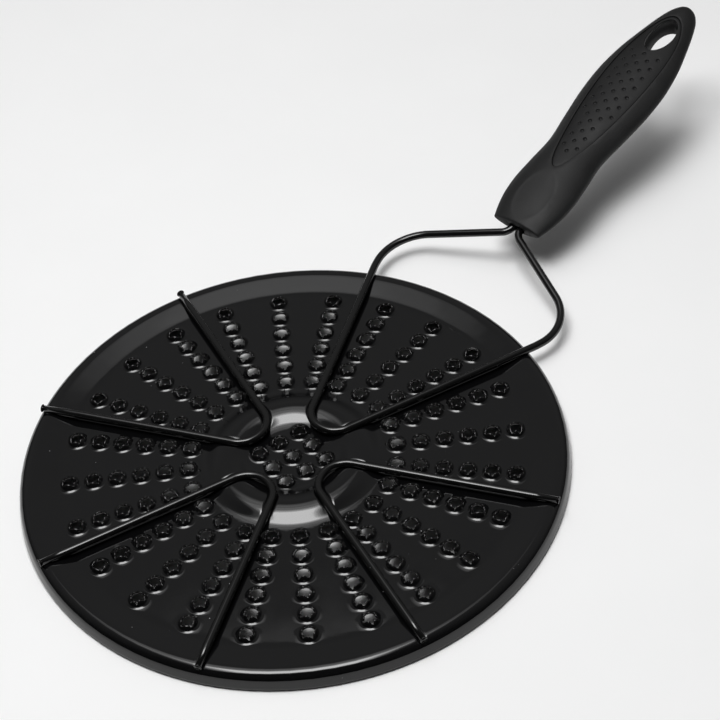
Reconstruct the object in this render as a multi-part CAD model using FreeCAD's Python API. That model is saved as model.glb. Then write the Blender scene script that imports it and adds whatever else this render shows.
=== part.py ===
import FreeCAD, Part
import math
import os

from FreeCAD import Vector

# Stovetop toasting plate: a pierced, enamelled steel plate under four bent wires.
# One of the wires runs on past the rim and carries a moulded handle.
# Millimetres. The origin is on the plate's axis, level with the bottom of its hem.
# +X points from the plate to the handle, +Z points up.

# ---- plate ----
plate_radius = 116.6
sheet = 0.9
flat_height = 6.0
slope_width = 17.1
rim_rise = 2.0
rim_width = 6.4
rim_dip = 0.15
rim_foot_bend = 20.0
rim_crest_bend = 8.0
rim_edge_bend = 4.0
skirt_flare = 1.6
hem_width = 2.8
hem_rise = 2.2
hem_bend = 1.0

# ---- raised ring around the middle of the plate ----
ring_radius = 28.0
ring_half_width = 9.8
ring_rise = 3.0
ring_crest_bend = 14.0
ring_foot_bend = 12.0

# ---- pierced holes with raised collars ----
hole_rows = 24
first_hole_radius = 44.0
hole_pitch = 10.0
hole_margin = 5.4
hole_radius = 2.0
collar_foot_radius = 3.9
collar_top_radius = 2.7
collar_rise = 2.2
middle_grid = 3
middle_grid_turn = -15.0

# ---- wires ----
wire_diameter = 3.5
channel_depth = 0.85
leg_half_angle = 22.5
wire_bend_centre = 29.0
rest_end_setback = 1.8
gap_between_tails = 0.4

# ---- handle wire outside the plate ----
loop_start_reach = 1.4
loop_corner_reach = 22.2
loop_corner_angle = 21.7
loop_corner_bend = 20.5
rim_exit_bend = 30.0
entry_bend = 6.0
tail_length = 52.0

# ---- handle ----
handle_gap = 38.9
handle_lift = 13.4
handle_tilt = 14.9
handle_length = 141.0
handle_crown = 1.2
slot_depth = 4.0
slot_margin = 0.6
section_power = 1.75
section_points = 32
thinnest_section = 1.5
# Place along the handle as a share of its length, half width, half thickness.
handle_stations = [
    (0.00, 12.4, 4.0),
    (0.03, 13.9, 5.0),
    (0.08, 15.7, 6.3),
    (0.15, 16.6, 7.4),
    (0.23, 15.9, 7.9),
    (0.33, 14.7, 8.1),
    (0.43, 16.2, 8.4),
    (0.54, 17.9, 8.6),
    (0.65, 18.2, 8.4),
    (0.75, 16.5, 7.7),
    (0.84, 13.3, 6.8),
    (0.92, 9.8, 5.8),
    (0.96, 7.4, 4.9),
    (0.985, 4.6, 3.6),
    (1.00, 1.6, 1.8),
]

# ---- grip insert, let into the top of the handle ----
insert_start = 32.0
insert_end_from_tip = 10.0
insert_half_width = 11.6
leaf_taper = 0.26
outline_points = 40
insert_depth = 2.4
insert_step = 0.6
insert_clearance = 0.15
dimple_radius = 0.95
dimple_depth = 0.7
dimple_columns = 5
dimple_pitch_across = 3.7
dimple_pitch_along = 6.3
dimple_start = 10.0
dimple_margin = 1.6
thumb_place = 15.0
thumb_length = 27.0
thumb_width = 17.0
thumb_depth = 0.9

# ---- hang hole ----
hang_hole_from_tip = 22.4
hang_hole_length = 21.0
hang_hole_width = 12.0

# ---- cutting room: how far past the surface each cutting shape runs ----
punch_room = 1.0
wire_room = 10.0
handle_room = 20.0
dimple_room = 6.0

# ---- worked out ----
wire_radius = wire_diameter / 2
rim_height = flat_height + rim_rise
wire_height = rim_height - channel_depth + wire_radius
flat_radius = plate_radius - slope_width
rest_end_radius = plate_radius - rest_end_setback
wire_bend = wire_bend_centre * math.sin(math.radians(leg_half_angle))
tail_offset = wire_radius + gap_between_tails / 2
handle_start_x = plate_radius + handle_gap
hang_hole_place = handle_length - hang_hole_from_tip
insert_end = handle_length - insert_end_from_tip
insert_length = insert_end - insert_start
insert_middle = (insert_start + insert_end) / 2


def bent_path(points, bends):
    """Edges along straight runs, with an arc of each bend radius at each inner point."""
    edges = []
    start = points[0]
    for index, bend in enumerate(bends):
        before, corner, after = points[index], points[index + 1], points[index + 2]
        back = (before - corner).normalize()
        ahead = (after - corner).normalize()
        half_turn = (math.pi - back.getAngle(ahead)) / 2
        setback = bend * math.tan(half_turn)
        arc_start = corner + back * setback
        arc_end = corner + ahead * setback
        inward = (back + ahead).normalize()
        arc_middle = corner + inward * (bend / math.cos(half_turn) - bend)
        if (arc_start - start).Length > 1e-6:
            edges.append(Part.LineSegment(start, arc_start).toShape())
        edges.append(Part.Arc(arc_start, arc_middle, arc_end).toShape())
        start = arc_end
    edges.append(Part.LineSegment(start, points[-1]).toShape())
    return edges


def shifted(points, offset):
    """The points of an open outline in the XZ plane, moved sideways by offset."""
    normals = []
    for first, second in zip(points, points[1:]):
        along = (second - first).normalize()
        normals.append(Vector(-along.z, 0, along.x))
    moved = [points[0] + normals[0] * offset]
    for point, before, after in zip(points[1:-1], normals, normals[1:]):
        middle = (before + after).normalize()
        moved.append(point + middle * (offset / middle.dot(before)))
    moved.append(points[-1] + normals[-1] * offset)
    return moved


def turns_left(points, index):
    """True if the outline bends towards its own left at the point after index."""
    first = points[index + 1] - points[index]
    second = points[index + 2] - points[index + 1]
    return first.x * second.z - first.z * second.x > 0


def shifted_bends(points, bends, offset):
    """Bend radii of the outline once it has been moved sideways by offset."""
    radii = []
    for index, bend in enumerate(bends):
        side = -1 if turns_left(points, index) else 1
        radii.append(bend + side * offset)
    return radii


def turned(edges):
    """The solid made by turning a closed outline around the plate's axis."""
    face = Part.Face(Part.Wire(edges))
    return face.revolve(Vector(0, 0, 0), Vector(0, 0, 1), 360)


def plate_outline():
    """Middle line of the sheet, from the centre of the plate to the end of the hem."""
    middle = flat_height - sheet / 2
    crest_drop = ring_crest_bend - ring_rise
    reach = math.hypot(ring_half_width, crest_drop)
    slope = math.asin(ring_crest_bend / reach) - math.atan2(crest_drop, ring_half_width)
    peak = ring_half_width * math.tan(slope)
    rim_middle = rim_height - sheet / 2
    skirt_radius = plate_radius - sheet / 2
    points = [
        Vector(0, 0, middle),
        Vector(ring_radius - ring_half_width, 0, middle),
        Vector(ring_radius, 0, middle + peak),
        Vector(ring_radius + ring_half_width, 0, middle),
        Vector(flat_radius, 0, middle),
        Vector(plate_radius - rim_width, 0, rim_middle - rim_dip),
        Vector(skirt_radius - skirt_flare, 0, rim_middle),
        Vector(skirt_radius, 0, sheet / 2),
        Vector(skirt_radius - hem_width, 0, sheet / 2),
        Vector(skirt_radius - hem_width, 0, sheet / 2 + hem_rise),
    ]
    bends = [
        ring_foot_bend,
        ring_crest_bend,
        ring_foot_bend,
        rim_foot_bend,
        rim_crest_bend,
        rim_edge_bend,
        hem_bend,
        hem_bend,
    ]
    return points, bends


def pressed_sheet():
    """The plate's sheet with its raised ring, rim, skirt and hem, before piercing."""
    points, bends = plate_outline()
    half = sheet / 2
    top = bent_path(shifted(points, half), shifted_bends(points, bends, half))
    bottom = bent_path(shifted(points, -half), shifted_bends(points, bends, -half))
    inner_end = Part.LineSegment(bottom[0].Vertexes[0].Point, top[0].Vertexes[0].Point)
    outer_end = Part.LineSegment(top[-1].Vertexes[-1].Point, bottom[-1].Vertexes[-1].Point)
    edges = top + [outer_end.toShape()] + bottom + [inner_end.toShape()]
    return turned(Part.__sortEdges__(edges))


def space_under_sheet():
    """Everything between the plate's top surface and the hem level."""
    points, bends = plate_outline()
    half = sheet / 2
    hem_points = 2
    upper_points = shifted(points, half)[:-hem_points]
    upper = bent_path(upper_points, shifted_bends(points, bends, half)[:-hem_points])
    last = upper[-1].Vertexes[-1].Point
    axis_foot = Vector(0, 0, last.z)
    top_centre = upper[0].Vertexes[0].Point
    edges = upper + [
        Part.LineSegment(last, axis_foot).toShape(),
        Part.LineSegment(axis_foot, top_centre).toShape(),
    ]
    return turned(Part.__sortEdges__(edges))


def hole_places():
    """Centres of all the pierced holes: the rows, and the square grid in the middle."""
    places = []
    room = flat_radius - hole_margin - first_hole_radius
    holes_in_row = int(room / hole_pitch) + 1
    for row in range(hole_rows):
        angle = math.radians(row * 360.0 / hole_rows)
        for ring in range(holes_in_row):
            radius = first_hole_radius + ring * hole_pitch
            places.append(Vector(radius * math.cos(angle), radius * math.sin(angle), 0))
    turn = math.radians(middle_grid_turn)
    centre = (middle_grid - 1) / 2
    for column in range(middle_grid):
        for line in range(middle_grid):
            across = (column - centre) * hole_pitch
            along = (line - centre) * hole_pitch
            x = across * math.cos(turn) - along * math.sin(turn)
            y = across * math.sin(turn) + along * math.cos(turn)
            places.append(Vector(x, y, 0))
    return places


def swept(edges, radius):
    """A round bar of the given radius along a path of straight and arc edges."""
    path = Part.Wire(edges)
    start = path.Edges[0]
    heading = start.tangentAt(start.FirstParameter)
    end_circle = Part.Circle(start.valueAt(start.FirstParameter), heading, radius)
    profile = Part.Wire([end_circle.toShape()])
    return path.makePipeShell([profile], True, False)


def leg_point(radius, side):
    """A point on a wire's straight leg, side being 1 or -1 of the +X direction."""
    angle = math.radians(leg_half_angle) * side
    return Vector(radius * math.cos(angle), radius * math.sin(angle), wire_height)


def hairpin_path(end_radius):
    """Path of one wire rest: in along one leg, around the bend, out along the other."""
    corner = Vector(0, 0, wire_height)
    return bent_path([leg_point(end_radius, 1), corner, leg_point(end_radius, -1)], [wire_bend])


def handle_point(along, across, up):
    """A point in the handle's own directions, measured from the middle of its mouth."""
    tilt = math.radians(handle_tilt)
    x = handle_start_x + along * math.cos(tilt) - up * math.sin(tilt)
    z = flat_height + handle_lift + along * math.sin(tilt) + up * math.cos(tilt)
    return Vector(x, across, z)


def handle_wire_path():
    """Path of the handle wire, from one tail in the handle to the other."""
    corner_radius = plate_radius + loop_corner_reach
    corner_angle = math.radians(loop_corner_angle)
    corner_x = corner_radius * math.cos(corner_angle)
    corner_y = corner_radius * math.sin(corner_angle)
    half = [
        handle_point(tail_length, tail_offset, 0),
        handle_point(-entry_bend / 2, tail_offset, 0),
        Vector(corner_x, corner_y, wire_height),
        leg_point(plate_radius + loop_start_reach, 1),
    ]
    mirrored = [Vector(point.x, -point.y, point.z) for point in reversed(half)]
    points = half + [Vector(0, 0, wire_height)] + mirrored
    bends = [entry_bend, loop_corner_bend, rim_exit_bend]
    return bent_path(points, bends + [wire_bend] + bends[::-1])


def make_wire_rest(angle):
    """One short hairpin wire, turned around the plate's axis to its place."""
    rest = swept(hairpin_path(rest_end_radius), wire_radius)
    rest.rotate(Vector(0, 0, 0), Vector(0, 0, 1), angle)
    return rest


def make_handle_wire():
    """The long wire: a hairpin on the plate, an open loop, and two tails in the handle."""
    return swept(handle_wire_path(), wire_radius)


def make_plate():
    """The pierced plate, with a collar round each hole and a channel under each wire."""
    plate = pressed_sheet()
    under = space_under_sheet()
    places = hole_places()
    collars = []
    punches = []
    punch_height = flat_height + collar_rise + punch_room
    for place in places:
        foot = place + Vector(0, 0, flat_height - sheet / 2)
        height = collar_rise + sheet / 2
        collars.append(Part.makeCone(collar_foot_radius, collar_top_radius, height, foot))
        punches.append(Part.makeCylinder(hole_radius, punch_height, place))
    plate = plate.multiFuse(collars)
    plate = plate.cut(Part.makeCompound(punches))
    reach = plate_radius + wire_room
    channels = []
    seats = []
    for quarter in range(4):
        for shapes, radius in ((channels, wire_radius + sheet), (seats, wire_radius)):
            shape = swept(hairpin_path(reach), radius)
            shape.rotate(Vector(0, 0, 0), Vector(0, 0, 1), 90 * quarter)
            shapes.append(shape)
    for channel in channels:
        plate = plate.fuse(channel.common(under))
    for seat in seats:
        plate = plate.cut(seat)
    return plate.removeSplitter()


def section_wire(along, half_width, half_thickness, shrink=0.0):
    """A closed, lens-like section of the handle at a distance along it."""
    points = []
    for step in range(section_points):
        angle = 2 * math.pi * step / section_points
        cosine, sine = math.cos(angle), math.sin(angle)
        across = math.copysign(abs(cosine) ** (2 / section_power), cosine)
        up = math.copysign(abs(sine) ** (2 / section_power), sine)
        across *= half_width - shrink
        up *= half_thickness - shrink
        points.append(handle_point(along, across, up + handle_crown))
    curve = Part.BSplineCurve()
    curve.interpolate(points, PeriodicFlag=True)
    return Part.Wire([curve.toShape()])


def handle_block(shrink=0.0):
    """The handle's outer shape, or the same shape shrunk inwards by a depth."""
    wires = []
    for share, half_width, half_thickness in handle_stations:
        if min(half_width, half_thickness) - shrink < thinnest_section:
            continue
        wires.append(section_wire(share * handle_length, half_width, half_thickness, shrink))
    return Part.makeLoft(wires, True, False)


def handle_half_sizes(along):
    """Half width and half thickness of the handle at a distance along it."""
    share = min(max(along / handle_length, 0), 1)
    for first, second in zip(handle_stations, handle_stations[1:]):
        if share <= second[0]:
            blend = (share - first[0]) / (second[0] - first[0])
            half_width = first[1] + (second[1] - first[1]) * blend
            return half_width, first[2] + (second[2] - first[2]) * blend


def handle_top(along, across):
    """Height of the handle's top surface over its own middle plane."""
    half_width, half_thickness = handle_half_sizes(along)
    share = max(1 - abs(across / half_width) ** section_power, 0)
    return handle_crown + half_thickness * share ** (1 / section_power)


def flat_outline(points_at, clearance):
    """A flat leaf-shaped or oval face in the middle plane of the handle."""
    points = []
    for step in range(outline_points):
        along, across = points_at(2 * math.pi * step / outline_points, clearance)
        points.append(handle_point(along, across, handle_crown))
    curve = Part.BSplineCurve()
    curve.interpolate(points, PeriodicFlag=True)
    return Part.Face(Part.Wire([curve.toShape()]))


def upward(length):
    """The direction square to the handle's top, with a length."""
    return handle_point(0, 0, length) - handle_point(0, 0, 0)


def leaf_at(angle, clearance):
    """A point on the insert's leaf outline, narrower towards the mouth of the handle."""
    length = insert_length / 2 - clearance
    width = insert_half_width - clearance
    across = width * math.sin(angle) * (1 + leaf_taper * math.cos(angle))
    return insert_middle + length * math.cos(angle), across


def oval_at(place, length, width):
    """A function that gives the points of an oval around a place on the handle."""
    def point_at(angle, clearance):
        along = place + (length / 2 - clearance) * math.cos(angle)
        return along, (width / 2 - clearance) * math.sin(angle)
    return point_at


def leaf_prism(clearance):
    """The insert's outline, extruded up from the handle's middle plane."""
    return flat_outline(leaf_at, clearance).extrude(upward(handle_room))


def hang_hole():
    """The oval hole right through the tip of the handle."""
    face = flat_outline(oval_at(hang_hole_place, hang_hole_length, hang_hole_width), 0)
    face.translate(upward(-handle_room))
    return face.extrude(upward(2 * handle_room))


def wire_mouth():
    """The slot in the handle's end that the two tails enter side by side."""
    half_width = tail_offset + wire_radius + slot_margin
    half_height = wire_radius + slot_margin
    left = handle_point(-punch_room, half_width - half_height, 0)
    right = handle_point(-punch_room, half_height - half_width, 0)
    axis = handle_point(1, 0, 0) - handle_point(0, 0, 0)
    depth = slot_depth + punch_room
    ends = [Part.makeCylinder(half_height, depth, centre, axis) for centre in (left, right)]
    corners = [
        left + upward(half_height),
        right + upward(half_height),
        right - upward(half_height),
        left - upward(half_height),
    ]
    middle = Part.Face(Part.makePolygon(corners + [corners[0]])).extrude(axis * depth)
    return middle.multiFuse(ends)


def thumb_dish():
    """A shallow round-sided dish for the thumb, cut into the handle near its mouth."""
    top = handle_top(thumb_place, 0)
    radius = (thumb_length / 2) ** 2 / (2 * thumb_depth) + thumb_depth / 2
    ball = Part.makeSphere(radius)
    squeeze = FreeCAD.Matrix()
    squeeze.scale(1, thumb_width / thumb_length, 1)
    dish = ball.transformGeometry(squeeze)
    dish.rotate(Vector(0, 0, 0), Vector(0, 1, 0), -handle_tilt)
    dish.translate(handle_point(thumb_place, 0, top - thumb_depth + radius))
    return dish


def dimple_places():
    """Staggered places for the insert's dimples, all clear of its edge and the hang hole."""
    places = []
    rows = int(insert_length / dimple_pitch_along)
    hole_start = hang_hole_place - hang_hole_length / 2
    for row in range(rows):
        for column in range(dimple_columns):
            across = (column - (dimple_columns - 1) / 2) * dimple_pitch_across
            stagger = dimple_pitch_along / 2 if column % 2 else 0
            along = insert_start + dimple_start + dimple_pitch_along * row + stagger
            reach = (along - insert_middle) / (insert_length / 2)
            if abs(reach) >= 1:
                continue
            edge = insert_half_width * math.sqrt(1 - reach * reach) * (1 + leaf_taper * reach)
            clear_of_hole = along < hole_start - dimple_margin
            if abs(across) < edge - dimple_margin - dimple_radius and clear_of_hole:
                places.append((along, across))
    return places


def make_handle():
    """The handle's body and the dimpled insert let into its top."""
    outside = handle_block()
    floor = handle_block(insert_depth)
    skin = handle_block(insert_step)
    hole = hang_hole()
    body = outside.cut(leaf_prism(0).cut(floor))
    body = body.cut(thumb_dish())
    body = body.cut(wire_mouth())
    body = body.cut(make_handle_wire())
    body = body.cut(hole)
    insert = skin.common(leaf_prism(insert_clearance)).cut(floor)
    insert = insert.cut(hole)
    dimples = []
    for along, across in dimple_places():
        surface = handle_top(along, across) - insert_step
        foot = handle_point(along, across, surface - dimple_depth)
        dimples.append(Part.makeCylinder(dimple_radius, dimple_room, foot, upward(1)))
    insert = insert.cut(Part.makeCompound(dimples))
    return body, insert


def main():
    """Build every piece and write each one to its own file."""
    os.makedirs("parts", exist_ok=True)
    body, insert = make_handle()
    pieces = {
        "pierced_plate": make_plate(),
        "wire_rest_left": make_wire_rest(90),
        "wire_rest_front": make_wire_rest(180),
        "wire_rest_right": make_wire_rest(270),
        "handle_wire": make_handle_wire(),
        "handle_body": body,
        "grip_insert": insert,
    }
    for name, shape in pieces.items():
        print(name, len(shape.Solids), shape.isValid(), round(shape.Volume, 1))
        shape.Solids[0].exportStep("parts/" + name + ".step")


main()
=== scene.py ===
"""Looks for a stovetop toasting plate: pierced black enamel, bent wires and a moulded handle.

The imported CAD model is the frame. The plate, the four wires, the handle and its grip leaf
are built again here around it, with the rounding, tearing and moulding that the CAD leaves
out. Lengths in the size fields are millimetres; every mesh is made in metres. The origin is
on the plate's axis, level with the bottom of its hem; +X points to the handle, +Z up.
"""

import logging
import math
from collections.abc import Sequence
from dataclasses import dataclass, field
from enum import Enum

import bmesh
import bpy
import numpy as np
from mathutils import Matrix, Vector
from mathutils.geometry import delaunay_2d_cdt


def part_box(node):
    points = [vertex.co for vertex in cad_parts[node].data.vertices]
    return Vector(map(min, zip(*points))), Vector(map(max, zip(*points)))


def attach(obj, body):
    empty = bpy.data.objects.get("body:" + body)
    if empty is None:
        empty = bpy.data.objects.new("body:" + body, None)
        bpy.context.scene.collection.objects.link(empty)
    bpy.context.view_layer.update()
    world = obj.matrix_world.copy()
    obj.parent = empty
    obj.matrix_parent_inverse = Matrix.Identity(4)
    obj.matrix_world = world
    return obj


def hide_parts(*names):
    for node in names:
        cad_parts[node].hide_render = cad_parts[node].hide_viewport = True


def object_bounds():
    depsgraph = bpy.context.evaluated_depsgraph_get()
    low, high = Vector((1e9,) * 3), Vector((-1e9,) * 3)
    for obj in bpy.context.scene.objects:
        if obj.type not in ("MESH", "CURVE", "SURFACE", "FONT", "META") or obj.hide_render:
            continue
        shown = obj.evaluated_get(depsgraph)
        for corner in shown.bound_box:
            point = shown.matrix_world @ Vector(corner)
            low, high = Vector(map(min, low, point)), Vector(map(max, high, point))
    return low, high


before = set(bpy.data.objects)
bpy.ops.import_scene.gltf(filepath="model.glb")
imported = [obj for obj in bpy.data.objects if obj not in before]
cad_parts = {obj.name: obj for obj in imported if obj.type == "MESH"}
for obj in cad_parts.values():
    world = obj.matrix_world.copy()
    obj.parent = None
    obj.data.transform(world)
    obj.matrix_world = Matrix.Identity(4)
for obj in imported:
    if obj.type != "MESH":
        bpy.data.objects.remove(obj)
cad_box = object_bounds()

LOG = logging.getLogger("toasting_plate")
MM = 0.001
CHANNEL_DEPTH = 0.85
BODY = "root"


class Slot(Enum):
    """Names of the material slots."""

    PLATE = "plate_enamel"
    WIRE = "wire_enamel"
    HANDLE = "handle_plastic"
    LEAF = "insert_plastic"


class RestPlace(Enum):
    """Where a short wire rest stands, in degrees round the plate from the handle."""

    LEFT = 90.0
    FRONT = 180.0
    RIGHT = 270.0


class Face(Enum):
    """The two sides of the handle, as the range of angle round its section."""

    TOP = (0.0, math.pi)
    UNDERSIDE = (math.pi, 2 * math.pi)


# ---- plain geometry ----


def unit(vector: np.ndarray) -> np.ndarray:
    """The vector at length one."""
    return vector / np.linalg.norm(vector)


def rounded_path(points: np.ndarray, bends: Sequence[float], step: float) -> np.ndarray:
    """Straight runs joined by an arc at each inner point.

    Args:
        points: Corner points of the path, two or three numbers each.
        bends: Bend radius at each inner point.
        step: Longest distance between two points on an arc.

    Returns:
        Points along the path, its first and last corners included.
    """
    line = [points[0]]
    for index, bend in enumerate(bends):
        corner = points[index + 1]
        back = unit(points[index] - corner)
        ahead = unit(points[index + 2] - corner)
        turn = math.pi - math.acos(float(np.clip(back @ ahead, -1, 1)))
        start = corner + back * bend * math.tan(turn / 2)
        centre = corner + unit(back + ahead) * bend / math.cos(turn / 2)
        outward = unit(start - centre)
        count = max(2, math.ceil(bend * turn / step))
        for angle in np.linspace(0, turn, count + 1):
            line.append(centre + bend * (outward * math.cos(angle) - back * math.sin(angle)))
    line.append(points[-1])
    return np.array(line)


def divided(line: np.ndarray, longest: float) -> np.ndarray:
    """A line with extra points on each run that is longer than the given length.

    Args:
        line: Points of the line.
        longest: Longest run left undivided.

    Returns:
        The points, with the extra ones between them.
    """
    rows = [line[:1]]
    for first, second in zip(line, line[1:]):
        parts = max(1, math.ceil(float(np.linalg.norm(second - first)) / longest))
        shares = np.arange(1, parts + 1)[:, None] / parts
        rows.append(first + (second - first) * shares)
    return np.concatenate(rows)


def moved_sideways(points: np.ndarray, distance: float) -> np.ndarray:
    """The corners of an open outline, each run moved to its own left.

    Args:
        points: Corners as pairs of numbers.
        distance: How far each run moves.

    Returns:
        The moved corners.
    """
    along = np.diff(points, axis=0)
    along /= np.linalg.norm(along, axis=1)[:, None]
    left = np.stack([-along[:, 1], along[:, 0]], axis=1)
    before = np.concatenate([left[:1], left])
    after = np.concatenate([left, left[-1:]])
    middle = (before + after) / 2
    middle /= (middle**2).sum(axis=1)[:, None]
    return points + middle * distance


def smooth_between(places: np.ndarray, xs: Sequence[float], ys: Sequence[float]) -> np.ndarray:
    """Values of a smooth curve through given points.

    Args:
        places: Where the curve is read.
        xs: Rising places of the given points.
        ys: Values of the given points.

    Returns:
        One value for each place.
    """
    x, y = np.asarray(xs, float), np.asarray(ys, float)
    slope = np.gradient(y, x)
    at = np.clip(np.searchsorted(x, places, side="right") - 1, 0, len(x) - 2)
    width = x[at + 1] - x[at]
    t = np.clip((places - x[at]) / width, 0, 1)
    rise = t * t * (3 - 2 * t)
    start = t * (1 - t) ** 2 * width * slope[at]
    end = t * t * (t - 1) * width * slope[at + 1]
    return y[at] * (1 - rise) + y[at + 1] * rise + start + end


def soft_min(first: np.ndarray, second: np.ndarray, blend: float) -> np.ndarray:
    """The lower of two heights, rounded where they cross.

    Args:
        first: Some heights.
        second: Others, of the same shape.
        blend: Height over which the two run together.

    Returns:
        The heights of the rounded lower surface.
    """
    share = np.maximum(blend - np.abs(first - second), 0) / blend
    return np.minimum(first, second) - share**2 * blend / 4


def inside(points: np.ndarray, loop: np.ndarray) -> np.ndarray:
    """Which points lie inside a closed loop.

    Args:
        points: Pairs of numbers.
        loop: Corners of the loop, not repeated at its end.

    Returns:
        A true or false for each point.
    """
    x, y = points[:, 0], points[:, 1]
    within = np.zeros(len(points), bool)
    for (x1, y1), (x2, y2) in zip(loop, np.roll(loop, -1, axis=0)):
        if y1 == y2:
            continue
        crosses = (y1 > y) != (y2 > y)
        within ^= crosses & (x < (x2 - x1) * (y - y1) / (y2 - y1) + x1)
    return within


def clear_of(points: np.ndarray, loops: Sequence[np.ndarray], gap: float) -> np.ndarray:
    """The points that are not too near any corner of some loops.

    Args:
        points: Pairs of numbers.
        loops: Loops of corners.
        gap: Nearest distance allowed.

    Returns:
        The points kept.
    """
    for loop in loops:
        away = np.linalg.norm(points[:, None, :] - loop[None, :, :], axis=2).min(axis=1)
        points = points[away > gap]
    return points


def triangles_between(
    outer: np.ndarray,
    holes: Sequence[np.ndarray],
    creases: Sequence[np.ndarray],
    fill: np.ndarray,
) -> tuple[np.ndarray, np.ndarray]:
    """Triangles over a flat convex region with holes.

    Args:
        outer: Corners of the region's edge.
        holes: Closed loops left open.
        creases: Closed loops that triangles follow but don't leave open.
        fill: Loose points inside the region.

    Returns:
        The points used and the triangles, as rows of three indices.
    """
    loops = [outer, *holes, *creases]
    edges: list[tuple[int, int]] = []
    start = 0
    for loop in loops:
        count = len(loop)
        edges += [(start + k, start + (k + 1) % count) for k in range(count)]
        start += count
    points = np.concatenate([*loops, fill])
    made = delaunay_2d_cdt([Vector(p) for p in points], edges, [], 0, 1e-9, False)
    flat = np.array([tuple(v) for v in made[0]])
    triangles = np.array([tuple(f) for f in made[2]])
    sides = flat[triangles[:, 1:]] - flat[triangles[:, :1]]
    clockwise = sides[:, 0, 0] * sides[:, 1, 1] < sides[:, 0, 1] * sides[:, 1, 0]
    triangles[clockwise] = triangles[clockwise][:, ::-1]
    middles = flat[triangles].mean(axis=1)
    keep = inside(middles, outer)
    for hole in holes:
        keep &= ~inside(middles, hole)
    return flat, triangles[keep]


def zipped(inner: np.ndarray, outer: np.ndarray) -> np.ndarray:
    """Triangles between two rings of points with different spacing.

    Args:
        inner: Rising angles of the inner ring's points.
        outer: Rising angles of the outer ring's points, numbered on from the inner ones.

    Returns:
        Rows of three indices.
    """
    first, second = len(inner), len(outer)
    start = int(np.searchsorted(outer, inner[0]))
    outer = np.roll(outer, -start)
    lap = 2 * math.pi
    outer = np.where(outer < inner[0] - 1e-9, outer + lap, outer)
    faces = []
    i = j = 0
    while i < first or j < second:
        next_inner = inner[(i + 1) % first] + lap * ((i + 1) // first)
        next_outer = outer[(j + 1) % second] + lap * ((j + 1) // second)
        here = i % first
        there = first + (j + start) % second
        if j >= second or (i < first and next_inner <= next_outer):
            faces.append([here, there, (i + 1) % first])
            i += 1
        else:
            faces.append([here, there, first + (j + 1 + start) % second])
            j += 1
    return np.array(faces)


@dataclass
class Skin:
    """Points and faces gathered patch by patch, then welded into one piece."""

    points: list[np.ndarray] = field(default_factory=list)
    faces: list[list[int]] = field(default_factory=list)
    marks: list[np.ndarray] = field(default_factory=list)
    count: int = 0

    def patch(self, points: np.ndarray, faces: np.ndarray, mark: float | np.ndarray = 0.0) -> None:
        """Add loose points and the faces between them.

        Args:
            points: Rows of three millimetre coordinates.
            faces: Rows of indices into those points.
            mark: Wear value of the points, one or one each.
        """
        self.points.append(points)
        self.marks.append(np.broadcast_to(mark, len(points)).astype(float))
        self.faces += (faces + self.count).tolist()
        self.count += len(points)

    def rows(self, rows: np.ndarray, closed: bool, mark: float | np.ndarray = 0.0) -> None:
        """Add the quads between neighbouring rows of points.

        Args:
            rows: Points as row, column, coordinate.
            closed: True where the last column joins the first.
            mark: Wear value, one or one for each point.
        """
        height, width = rows.shape[:2]
        first = np.arange(height - 1)[:, None] * width
        column = np.arange(width if closed else width - 1)[None, :]
        beside = (column + 1) % width
        quads = [first + column, first + beside, first + width + beside, first + width + column]
        faces = np.stack(np.broadcast_arrays(*quads), axis=2).reshape(-1, 4)
        if isinstance(mark, np.ndarray):
            mark = np.broadcast_to(mark, (height, width)).reshape(-1)
        self.patch(rows.reshape(-1, 3), faces, mark)

    def piece(self, name: str, closed: bool = True) -> bpy.types.Object:
        """Weld the patches into an object.

        Args:
            name: Name of the new piece.
            closed: True for a solid body, False for the top of a sheet.

        Returns:
            The object, linked to the scene.
        """
        mesh = bpy.data.meshes.new(name)
        mesh.from_pydata((np.concatenate(self.points) * MM).tolist(), [], self.faces)
        mark = mesh.attributes.new("wear", "FLOAT", "POINT")
        mark.data.foreach_set("value", np.concatenate(self.marks))
        shape = bmesh.new()
        shape.from_mesh(mesh)
        bmesh.ops.remove_doubles(shape, verts=shape.verts, dist=2e-6)
        bmesh.ops.dissolve_degenerate(shape, edges=shape.edges, dist=1e-6)
        if closed:
            bmesh.ops.recalc_face_normals(shape, faces=shape.faces)
        shape.to_mesh(mesh)
        shape.free()
        mesh.validate()
        mesh.shade_smooth()
        piece = bpy.data.objects.new(name, mesh)
        bpy.context.scene.collection.objects.link(piece)
        return piece


def thicken(piece: bpy.types.Object, wall: float, lip: float) -> None:
    """Give an open sheet its thickness, thinner where it is worn or torn.

    Args:
        piece: The sheet, facing up.
        wall: Thickness in millimetres where it is whole.
        lip: Thickness at the most worn edges.
    """
    mesh = piece.data
    count = len(mesh.vertices)
    top = np.empty(count * 3)
    mesh.vertices.foreach_get("co", top)
    normals = np.empty(count * 3)
    mesh.vertex_normals.foreach_get("vector", normals)
    wear = np.empty(count)
    mesh.attributes["wear"].data.foreach_get("value", wear)
    top, normals = top.reshape(-1, 3), normals.reshape(-1, 3)
    thickness = (wall + (lip - wall) * np.clip(wear, 0, 1)) * MM
    faces = [list(polygon.vertices) for polygon in mesh.polygons]
    runs = {(a, b) for face in faces for a, b in zip(face, face[1:] + face[:1])}
    edges = [(a, b) for a, b in runs if (b, a) not in runs]
    under = [[index + count for index in reversed(face)] for face in faces]
    walls = [[b, a, a + count, b + count] for a, b in sorted(edges)]
    mesh.clear_geometry()
    points = np.concatenate([top, top - normals * thickness[:, None]])
    mesh.from_pydata(points.tolist(), [], faces + under + walls)
    mark = mesh.attributes.get("wear") or mesh.attributes.new("wear", "FLOAT", "POINT")
    mark.data.foreach_set("value", np.tile(wear, 2))
    mesh.validate()
    mesh.shade_smooth()


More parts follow.
